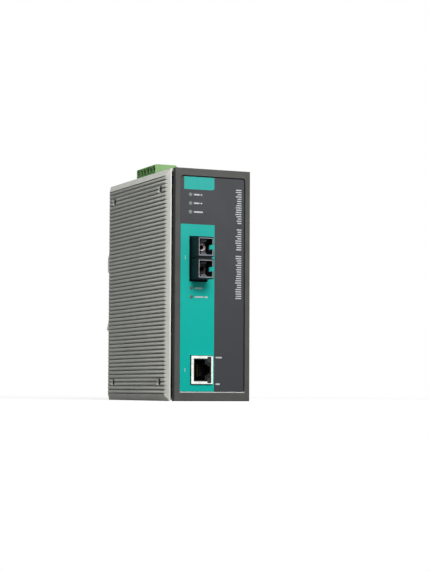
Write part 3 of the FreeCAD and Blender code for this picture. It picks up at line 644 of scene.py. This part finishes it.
def eased(name, node, width, segments=2, joined=0.02 * mm):
    """A new piece with a CAD node's shape and its sharp edges rounded off."""
    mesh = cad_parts[node].data.copy()
    mesh.name = name
    if "custom_normal" in mesh.attributes:
        mesh.attributes.remove(mesh.attributes["custom_normal"])
    form = bmesh.new()
    form.from_mesh(mesh)
    bmesh.ops.remove_doubles(form, verts=form.verts, dist=joined)
    bmesh.ops.dissolve_limit(form, angle_limit=math.radians(1), verts=form.verts,
                             edges=form.edges)
    form.to_mesh(mesh)
    form.free()
    piece = added(name, mesh)
    step = piece.modifiers.new("ease", "BEVEL")
    step.width, step.segments = width, segments
    step.limit_method, step.angle_limit = "ANGLE", math.radians(30)
    step.miter_outer, step.use_clamp_overlap = "MITER_ARC", False
    step.face_strength_mode = "FSTR_ALL"
    settled(piece)
    resplit(piece.data)
    # broad faces keep their flat shading beside the rounded edges
    even = piece.modifiers.new("even", "WEIGHTED_NORMAL")
    even.keep_sharp, even.use_face_influence, even.weight = True, True, 80
    return flattened(settled(piece))


def recast(name, node, body, slot, paint, *sizes, **more):
    """Puts an eased copy of a node's shape in the node's stead."""
    fitted(eased(name, node, *sizes, **more), body, slot, paint, node)


def dressed(paint, *nodes):
    """Gives CAD nodes that keep their own shape their surface."""
    for node in nodes:
        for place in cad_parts[node].material_slots:
            place.link = "OBJECT"
            place.material = paint


sheet_paint = finish("sheet_paint", (163, 163, 158), 0.5, 0.1, drift=((155, 155, 150), 14),
    sheen=(0.05, 4), grain=(0.35, 0.018))
recast("folded_chassis", "chassis_wrap", "case", "chassis_sheet", sheet_paint, 0.15 * mm)


# ---- Bezel -----------------------------------------------------
# A moulded frame of dark glass-filled plastic closes the front. It has a sparked grain,
# soft corners, and a shallow bed that takes the printed label.
bezel_paint = finish("bezel_plastic", (77, 77, 75), 0.52, drift=((72, 72, 70), 8),
    sheen=(0.06, 2.5), grain=(0.28, 0.02), specular=0.1)
bezel_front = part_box("front_bezel")[0].y
bed_low, bed_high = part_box("front_label")
face_y, front_depth = bed_low.y, 0.5 * mm
bezel_do = partial(calc, bezel_paint.node_tree)
bezel_spot = spot_on(bezel_paint.node_tree)
# painted shade: every face deeper than this behind the bezel's front, its sides and the gap
# behind, is painted near black
printed(bezel_paint, (30, 29, 28),
        bezel_do("GREATER_THAN", bezel_spot["Y"], bezel_front + front_depth))
# painted highlight: a pale line along the lower edge of the label's bed
lip_highlight = [bezel_do("COMPARE", bezel_spot[axis], middle, reach)
       for axis, middle, reach in (("X", 0.0, bed_high.x), ("Y", bezel_front, front_depth),
                                   ("Z", bed_low.z - 0.35 * mm, 0.3 * mm))]
printed(bezel_paint, (176, 176, 172),
        bezel_do("MULTIPLY", bezel_do("MULTIPLY", lip_highlight[0], lip_highlight[1]), lip_highlight[2]))
recast("front_frame", "front_bezel", "case", "bezel_plastic", bezel_paint, 0.3 * mm, 3)


# ---- Front label -----------------------------------------------
# A satin polyester film lies in the bezel's bed. Its fields are printed: dark grey all
# over, a blue-green strip down the port side and a blue-green patch at the top.
def length_of(tree, across, up):
    """The length of a line given by its two parts."""
    return calc(tree, "SQRT", calc(tree, "ADD", calc(tree, "POWER", across, 2.0),
                                   calc(tree, "POWER", up, 2.0)))


def shape_mask(tree, left, right, low, high, corner=0.0):
    """1 inside an upright round-cornered rectangle of the front, 0 outside it."""
    do, spot, blur = partial(calc, tree), spot_on(tree), 0.05 * mm
    offsets = []
    for along, start, end in ((spot["X"], left, right), (spot["Z"], low, high)):
        apart = do("ABSOLUTE", do("SUBTRACT", along, (start + end) / 2))
        offsets.append(do("SUBTRACT", apart, (end - start) / 2 - corner))
    outer = length_of(tree, *[do("MAXIMUM", offset, 0.0) for offset in offsets])
    inner = do("MINIMUM", do("MAXIMUM", *offsets), 0.0)
    return ramp(tree, do("SUBTRACT", do("ADD", outer, inner), corner), blur, 0.0)


label_film = finish("label_film", (65, 66, 69), 0.5, drift=((61, 62, 65), 12),
    sheen=(0.04, 5), grain=(0.09, 0.004), specular=0.12)
label_tree = label_film.node_tree
label_do, field_in = partial(calc, label_tree), partial(shape_mask, label_tree)
strip_right, strip_top, patch_left, patch_right = 1.3 * mm, 102.4 * mm, -18.0 * mm, 1.1 * mm
patch_low, patch_corner, edge_shade = 122.8 * mm, 1.3 * mm, 0.35 * mm
# painted shade: the film is painted darker towards the bottom, as the light falls off downward
risen = ramp(label_tree, spot_on(label_tree)["Z"], 20 * mm, bed_high.z)
printed(label_film, (56, 57, 60), label_do("SUBTRACT", 1.0, risen))
# only the patch's lower right corner is round
fields = [field_in(bed_low.x, strip_right, bed_low.z, strip_top),
          field_in(patch_left, patch_left / 2, patch_low, bed_high.z),
          field_in(patch_left + 4 * mm, patch_right, patch_low,
                   bed_high.z + 2 * patch_corner, patch_corner)]
printed(label_film, (0, 156, 145), *fields)
# painted light: the blue-green fields are painted paler towards the top, where the light falls
# stronger
top_light = label_do("POWER", risen, 2.0)
printed(label_film, (48, 152, 144), *[label_do("MULTIPLY", field, top_light)
                                      for field in fields])
# painted shade: a dark border along the film's top and sides, for the shadow at the bed's edge
inner_field = field_in(bed_low.x + edge_shade, bed_high.x - edge_shade, bed_low.z,
                       bed_high.z - edge_shade)
printed(label_film, (40, 44, 46), label_do("SUBTRACT", 1.0, inner_field))
dressed(label_film, "front_label")


# ---- Marks on the label ----------------------------------------
# White ink strokes stand for each lamp's and port's marking. The lamps shine through
# small round windows, embossed in the film with a raised rim and a frosted dome.
def stroke(form, left, right, low, high, front, back):
    """Adds one raised stroke of ink, with rounded corners, between two depths."""
    corner, steps = min(right - left, high - low) * 0.3, 4
    outline = []
    for x, z, start in ((right - corner, high - corner, 0), (left + corner, high - corner, 90),
                        (left + corner, low + corner, 180),
                        (right - corner, low + corner, 270)):
        for i in range(steps + 1):
            turn = math.radians(start + 90 * i / steps)
            outline.append((x + corner * math.cos(turn), z + corner * math.sin(turn)))
    walled(form, *[[(x, y, z) for x, z in outline] for y in (front, back)])


def lettered(name, marks, size, turn):
    """Plain marks as raised ink; each has its text and its middle, turned to its face."""
    thick = 0.03 * mm
    form = bmesh.new()
    for text, middle in marks:
        curve = bpy.data.curves.new("mark", "FONT")
        curve.body = text
        curve.size, curve.extrude, curve.resolution_u = size, thick / 2, 3
        curve.align_x, curve.align_y = "CENTER", "CENTER"
        holder = added("mark", curve)
        bpy.context.view_layer.update()
        shape = bpy.data.meshes.new_from_object(
            holder.evaluated_get(bpy.context.evaluated_depsgraph_get()))
        shape.transform(Matrix.Translation(middle) @ turn)
        form.from_mesh(shape)
        bpy.data.objects.remove(holder)
        bpy.data.meshes.remove(shape)
    return made(name, form)


ink_proud = 0.02 * mm
white_ink = finish("white_ink", (178, 182, 183), 0.5, drift=((166, 170, 171), 0.6),
    specular=0.2)
half_tall = 0.42
# each stroke's left end, right end and height, in mm
legends = [(-11.9, -8.3, 119.7), (-7.7, -6.6, 119.7), (-11.9, -8.3, 114.7), (-7.7, -6.6, 114.7),
           (-11.9, -6.2, 109.6), (-10.9, -6.2, 65.3), (-10.9, -5.5, 60.2), (-4.8, -2.8, 60.2),
           (2.4, 6.3, 25.3), (2.4, 5.1, 9.9)]
form = bmesh.new()
for left, right, middle in legends:
    stroke(form, left * mm, right * mm, (middle - half_tall) * mm, (middle + half_tall) * mm,
           face_y - ink_proud, face_y + ink_proud)
fitted(made("lamp_strokes", form), "case", "label_film", white_ink)

stand_up = Matrix.Rotation(math.pi / 2, 4, "X")
numbers = lettered("port_numbers", [("1", (-17.1 * mm, face_y, 82.8 * mm)),
                                    ("1", (-16.9 * mm, face_y, 17.6 * mm))], 3.2 * mm, stand_up)
fitted(numbers, "case", "label_film", white_ink)


def stroke_row_recipe():
    """One stroke on every point, each stretched to its own seeded height."""
    tree, given = recipe("stroke_row", {"Stroke": "Object", "Least": "Float", "Seed": "Int"})
    stretch = drawn(tree, given, given["Least"], 1.0)
    return strewn(tree, given, "Stroke", Scale=vector(tree, X=stretch, Y=1.0, Z=1.0))


form = bmesh.new()
stroke(form, -3.9 * mm, 0, -0.3 * mm, 0.3 * mm, -ink_proud, ink_proud)
upright_stroke = made("upright_stroke", form)
row_x, row_foot, row_pitch, row_count = 18.6 * mm, 60.0 * mm, 1.3 * mm, 50
gaps = (20, 21, 32, 33)
points = bpy.data.meshes.new("places")
points.from_pydata([(row_x, face_y, row_foot + i * row_pitch)
                    for i in range(row_count) if i not in gaps], [], [])
row = grown("upright_strokes", stroke_row_recipe(), {
    "Stroke": upright_stroke, "Least": 0.62, "Seed": 3, "Material": white_ink}, points)
bpy.data.objects.remove(upright_stroke)
fitted(row, "case", "label_film", white_ink)

lamp_window = turned("lamp_window", [
    (0, -0.02 * mm), (1.05 * mm, -0.02 * mm), (1.05 * mm, 0.05 * mm), (0.98 * mm, 0.09 * mm),
    (0.76 * mm, 0.09 * mm), (0.7 * mm, 0.0), (0.62 * mm, 0.02 * mm), (0.42 * mm, 0.07 * mm),
    (0.2 * mm, 0.095 * mm), (0, 0.1 * mm)], 32)

status_window = finish("status_window", (124, 127, 127), 0.4, drift=((104, 107, 107), 0.5),
    specular=0.3)
link_window = finish("link_window", (54, 104, 100), 0.4, drift=((78, 72, 68), 0.7),
    specular=0.3)
status_lamps = ["status_lamp_%d" % number for number in (1, 2, 3)]
link_lamps = ["link_lamp_1", "link_lamp_2"]
for name, nodes, paint in (("status_windows", status_lamps, status_window),
                           ("link_windows", link_lamps, link_window)):
    places = []
    for node in nodes:
        low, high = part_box(node)
        places.append(((low.x + high.x) / 2, face_y, (low.z + high.z) / 2))
    fixed(name, lamp_window, places, (0, -1, 0), 1, "case", "lamp_clear", paint)
bpy.data.objects.remove(lamp_window)


# ---- Fibre port ------------------------------------------------
# The duplex receptacle is moulded in blue-black plastic, with a painted highlight on its thin
# rims. Each keyed cavity holds a turned sleeve for the ferrule and a grey latch insert.
def placed(piece, origin, facing):
    """Stands a piece that was made round +Z at its place, with +Z along facing."""
    turn = Vector(facing).to_track_quat("Z", "Y").to_matrix().to_4x4()
    piece.data.transform(Matrix.Translation(origin) @ turn)


port_plastic = finish("port_plastic", (13, 14, 19), 0.5, drift=((19, 22, 31), 3),
    sheen=(0.07, 1.5), grain=(0.2, 0.006), specular=0.18)
port_tree = port_plastic.node_tree
rim_depth, rim_width, cavity_wide, cavity_tall = 0.3 * mm, 0.5 * mm, 8.0 * mm, 9.2 * mm
half_wide, half_high = cavity_wide / 2 + rim_width, cavity_tall / 2 + rim_width
at_front = calc(port_tree, "LESS_THAN", spot_on(port_tree)["Y"],
                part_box("transceiver_housing")[0].y + rim_depth)
rim_highlights = []
for way in ("transmit", "receive"):
    low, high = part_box(way + "_barrel")
    middle = (low + high) / 2
    ring = shape_mask(port_tree, middle.x - half_wide, middle.x + half_wide,
                      middle.z - half_high, middle.z + half_high, 0.2 * mm)
    rim_highlights.append(calc(port_tree, "MULTIPLY", ring, at_front))
# painted highlight: a paler band on the front of each cavity's rim
printed(port_plastic, (122, 127, 132), *rim_highlights)
recast("fibre_receptacle", "transceiver_housing", "case", "port_plastic", port_plastic,
       0.22 * mm, 3)


def sleeve_paint(name, ring_colour, middle):
    """Painted black for the shade down the bore, with a ring of its own colour on the sleeve's
    end.
    """
    # painted shade: the sleeve is black round its ring, for the shade in the bore
    paint = finish(name, (15, 16, 20), 0.32, drift=((22, 23, 28), 0.8), sheen=(0.05, 0.4),
        specular=0.3)
    tree = paint.node_tree
    spot, ring_inner, ring_outer = spot_on(tree), 1.36 * mm, 2.02 * mm
    apart = length_of(tree, calc(tree, "SUBTRACT", spot["X"], middle.x),
                      calc(tree, "SUBTRACT", spot["Z"], middle.z))
    ring = calc(tree, "MULTIPLY", calc(tree, "GREATER_THAN", apart, ring_inner),
                calc(tree, "LESS_THAN", apart, ring_outer))
    printed(paint, ring_colour, ring)
    return paint


latch_grey = finish("latch_plastic", (104, 108, 112), 0.4, drift=((92, 96, 100), 0.9),
    grain=(0.15, 0.006))
for way, ring_colour in (("transmit", (216, 200, 196)), ("receive", (60, 46, 37))):
    low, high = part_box(way + "_barrel")
    middle = (low + high) / 2
    long = high.y - low.y
    outer, bore, wall = 2.45 * mm, 1.25 * mm, 0.6 * mm
    sleeve = turned(way + "_sleeve", [
        (0, long - wall), (bore, long - wall), (bore, 1.5 * mm), (bore + 0.55 * mm, 0.5 * mm),
        (bore + 0.6 * mm, 0), (outer - 0.25 * mm, 0), (outer - 0.07 * mm, 0.07 * mm),
        (outer, 0.25 * mm), (outer, long), (0, long)], 48)
    placed(sleeve, (middle.x, low.y, middle.z), (0, 1, 0))
    smoothed(sleeve.data)
    paint = sleeve_paint(way + "_sleeve_paint", ring_colour, middle)
    fitted(sleeve, "case", "barrel_metal", paint, way + "_barrel")
    recast(way + "_catch", way + "_latch", "case", "latch_plastic", latch_grey, 0.12 * mm)

gold_flash = finish("gold_flash", (206, 168, 96), 0.3, 1.0, drift=((180, 142, 78), 0.7),
    sheen=(0.08, 0.5))
dressed(gold_flash, "transceiver_pins", "header_pins", "plug_contacts")


# ---- Copper jack -----------------------------------------------
# A folded, bright-tinned shield with a broad rim wraps a black insulator. Eight gilt
# spring contacts lie along its left wall and two light guides end at its right corners.
bright_tin = finish("bright_tin", (238, 238, 234), 0.3, 1.0, drift=((222, 222, 218), 1.6),
    sheen=(0.08, 1.2), grain=(0.25, 0.004))
recast("tinned_shield", "jack_shield", "case", "tin_plate", bright_tin, 0.1 * mm)
jack_plastic = finish("jack_plastic", (10, 10, 11), 0.42, drift=((15, 15, 16), 1.2),
    grain=(0.16, 0.006), specular=0.15)
recast("jack_insulator", "jack_body", "case", "jack_plastic", jack_plastic, 0.12 * mm)
spring_gilt = finish("spring_gilt", (150, 118, 62), 0.34, 1.0, drift=((120, 92, 48), 0.6),
    sheen=(0.08, 0.4))
dressed(spring_gilt, "jack_contacts")
guide_clear = finish("guide_clear", (26, 36, 28), 0.16, drift=((46, 58, 48), 0.9),
    sheen=(0.05, 0.6), specular=0.3)
for name in ("upper", "lower"):
    recast(name + "_light_guide", "jack_lamp_" + name, "case", "lamp_clear", guide_clear,
           0.2 * mm)


# ---- Lamps behind the label ------------------------------------
# Square acrylic light guides run from lamps on the board to the film's windows. Black
# moulded holders keep them apart.
acrylic = finish("acrylic", (186, 192, 190), 0.14, drift=((170, 178, 176), 1.4),
    sheen=(0.05, 0.8), Transmission_Weight=0.5)
dressed(acrylic, *status_lamps, *link_lamps)
black_epoxy = finish("black_epoxy", (38, 38, 40), 0.5, drift=((48, 48, 50), 1.0),
    grain=(0.18, 0.01))
dressed(black_epoxy, "status_lamp_holder", "link_lamp_holder")


# ---- Board and its parts ---------------------------------------
# The green board stands upright beside the left casting. Its parts are moulded black,
# the capacitors wear shrunk sleeves, and copper tracks show through the solder mask.
solder_mask = finish("solder_mask", (30, 92, 52), 0.32, drift=((26, 80, 46), 5),
    sheen=(0.05, 2), Coat_Weight=0.3)
board_tree = solder_mask.node_tree
board_do, cell_size, rings, half_track = partial(calc, board_tree), 7 * mm, 7.0, 0.14
apart = out(board_tree, "ShaderNodeTexVoronoi", {
    "Vector": wire(board_tree, "ShaderNodeTexCoord").outputs["Object"],
    "Scale": 1 / cell_size, "Randomness": 0.8}, distance="CHEBYCHEV")
bands = board_do("FRACT", board_do("MULTIPLY", apart, rings))
off_track = board_do("ABSOLUTE", board_do("SUBTRACT", bands, 0.5))
printed(solder_mask, (58, 132, 78), board_do("LESS_THAN", off_track, half_track))
dressed(solder_mask, "main_board")
dressed(black_epoxy, "converter_chip", "line_transformer", "fault_relay", "power_transformer")
dressed(zinc_steel, "board_standoffs", "board_screws")
shrunk_sleeve = finish("shrunk_sleeve", (36, 52, 92), 0.25, drift=((28, 42, 78), 1.5),
    sheen=(0.06, 1.2), Coat_Weight=0.3)
for number in (1, 2):
    recast("capacitor_%d" % number, "filter_capacitor_%d" % number, "case", "can_sleeve",
           shrunk_sleeve, 0.5 * mm, 3)


# ---- Terminal block --------------------------------------------
# A green six-way plug presses onto the board's header from above. Each way has a wire
# funnel on top, a nickel cage inside and, at its side, the slotted screw that draws it.
terminal_green = finish("terminal_green", (126, 162, 110), 0.42,
    drift=((118, 152, 102), 5), sheen=(0.06, 2), grain=(0.2, 0.01), specular=0.12)
terminal_tree = terminal_green.node_tree
# painted shade: faces turned along X take a darker green than the faces lit from the front
printed(terminal_green, (58, 142, 32),
        steep(terminal_tree, spot_on(terminal_tree, "Normal")["X"], 0.5, 0.9))
recast("terminal_socket", "terminal_header", "case", "terminal_green", terminal_green,
       0.15 * mm)
recast("terminal_body", "terminal_plug", "plug", "terminal_green", terminal_green, 0.2 * mm,
       joined=0.04 * mm)

nickel = finish("nickel", (196, 190, 180), 0.3, 1.0, drift=((176, 170, 160), 0.9),
    sheen=(0.07, 0.6), grain=(0.14, 0.004))
# painted shade: the clamp screws' zinc is painted dark, for the shade down their holes
dull_zinc = finish("dull_zinc", (76, 76, 72), 0.42, 1.0, drift=((84, 84, 80), 0.8),
    sheen=(0.07, 0.5))
head_radius, head_tall, shank = 1.75 * mm, 1.7 * mm, 1.25 * mm
slotted = turned("slotted_head", [
    (0, -9.6 * mm + head_tall), (0.9 * mm, -9.6 * mm + head_tall), (shank, -7.5 * mm),
    (shank, -head_tall), (head_radius, -head_tall), (head_radius, -0.18 * mm),
    (head_radius - 0.06 * mm, -0.06 * mm), (head_radius - 0.2 * mm, 0), (0, 0)])
carved(slotted, [wedge((4.2 * mm, 0.55 * mm), (4.2 * mm, 0.5 * mm), 0.1 * mm, -0.8 * mm)])
for number in range(1, 7):
    low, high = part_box("clamp_screw_%d" % number)
    place = (low.x, (low.y + high.y) / 2, (low.z + high.z) / 2)
    fixed("slotted_screw_%d" % number, slotted, [place], (-1, 0, 0), number,
          "screw_%d" % number, "screw_steel", dull_zinc, "clamp_screw_%d" % number)
    recast("wire_cage_%d" % number, "clamp_cage_%d" % number, "cage_%d" % number,
           "barrel_metal", nickel, 0.14 * mm)
bpy.data.objects.remove(slotted)


# ---- Switches --------------------------------------------------
# Four small slide switches share one blue moulded block beside the terminals. Its
# numbers and its ON mark are printed in white.
switch_blue = finish("switch_blue", (40, 84, 148), 0.38, drift=((34, 74, 134), 1.8),
    grain=(0.18, 0.008))
recast("switch_bank", "switch_block", "case", "switch_blue", switch_blue, 0.15 * mm)
slider_white = finish("slider_white", (226, 226, 220), 0.36, drift=((214, 214, 206), 0.7),
    grain=(0.12, 0.005))
bank_low, bank_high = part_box("switch_block")
marks = []
for number in range(1, 5):
    node = "switch_slider_%d" % number
    recast("slider_%d_knob" % number, node, "slider_%d" % number, "slider_white",
           slider_white, 0.14 * mm)
    low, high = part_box(node)
    marks.append((str(number), (bank_low.x + 1.7 * mm, (low.y + high.y) / 2, bank_high.z)))
marks.append(("ON", (bank_high.x - 1.5 * mm, (bank_low.y + bank_high.y) / 2, bank_high.z)))
legend = lettered("switch_marks", marks, 1.9 * mm, Matrix.Rotation(-math.pi / 2, 4, "Z"))
fitted(legend, "case", "switch_blue", white_ink)


# ---- Earth screw -----------------------------------------------
# A pan-head screw with a captive toothed washer bonds the case to earth. The screw is
# zinc plated and the washer nickel plated, and its teeth bite through the paint.
low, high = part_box("ground_screw")
middle = (low + high) / 2
washer_rim, washer_thick = (high.x - low.x) / 2, 0.6 * mm
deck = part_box("chassis_wrap")[1].z
washer = turned("toothed_washer", [
    (2.1 * mm, 0), (washer_rim - 1.1 * mm, 0), (washer_rim, 0.1 * mm),
    (washer_rim, washer_thick - 0.1 * mm), (washer_rim - 1.1 * mm, washer_thick),
    (2.1 * mm, washer_thick)], 96, True)
teeth, tooth_foot = 12, 0.88
for corner in washer.data.vertices:
    turn = math.atan2(corner.co.y, corner.co.x)
    if corner.co.xy.length > washer_rim - 0.5 * mm and math.cos(teeth * turn) < 0:
        corner.co.xy *= tooth_foot
placed(washer, (middle.x, middle.y, deck), (0, 0, 1))
smoothed(washer.data, 30)
fitted(washer, "case", "screw_steel", nickel)
pan_radius, pan_tall = 3.4 * mm, high.z - deck - washer_thick
pan_head = turned("pan_head", [
    (0, -pan_tall - 5 * mm), (1.5 * mm, -pan_tall - 5 * mm), (1.95 * mm, -pan_tall - 4.5 * mm),
    (1.95 * mm, -pan_tall), (pan_radius - 0.15 * mm, -pan_tall),
    (pan_radius, -pan_tall + 0.15 * mm), (pan_radius, -1.1 * mm),
    (pan_radius - 0.25 * mm, -0.6 * mm), (pan_radius - 0.9 * mm, -0.18 * mm),
    (pan_radius - 1.7 * mm, 0), (0, 0)])
carved(pan_head, cross_cutters(3.6 * mm, 0.95 * mm, 1.6 * mm))
fixed("earth_screw", pan_head, [(middle.x, middle.y, high.z)], (0, 0, 1), 7, "case",
      "screw_steel", zinc_steel, "ground_screw")
bpy.data.objects.remove(pan_head)


# ---- Rail clip -------------------------------------------------
# An aluminium extrusion hooks over the rail, with a leaf spring under its top lip. Two
# countersunk screws hold it to the chassis, and fine drawing lines run along it.
drawn_alloy = finish("drawn_alloy", (168, 170, 170), 0.44, 1.0,
    drift=((150, 152, 152), 6, (0.2, 1, 1)), sheen=(0.08, 0.8, (0.05, 1, 1)),
    grain=(0.22, 0.008, (0.02, 1, 1)))
recast("rail_clip_body", "rail_clip", "case", "clip_alloy", drawn_alloy, 0.12 * mm)
spring_steel = finish("spring_steel", (150, 152, 156), 0.28, 1.0,
    drift=((132, 134, 140), 2), sheen=(0.08, 1.0, (0.2, 1, 1)))
recast("leaf_spring", "rail_clip_spring", "case", "spring_steel", spring_steel, 0.1 * mm)
low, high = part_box("rail_clip_screws")
sunk_radius = (high.z - low.z) / 2
sunk_head = countersunk("sunk_head", sunk_radius, 1.6 * mm, 0.1 * mm, 3.5 * mm, 0.9 * mm,
                        1.5 * mm)
places = [(x, high.y, (low.z + high.z) / 2)
          for x in (low.x + sunk_radius, high.x - sunk_radius)]
fixed("clip_screws", sunk_head, places, (0, 1, 0), 9, "case", "screw_steel", zinc_steel,
      "rail_clip_screws")
bpy.data.objects.remove(sunk_head)
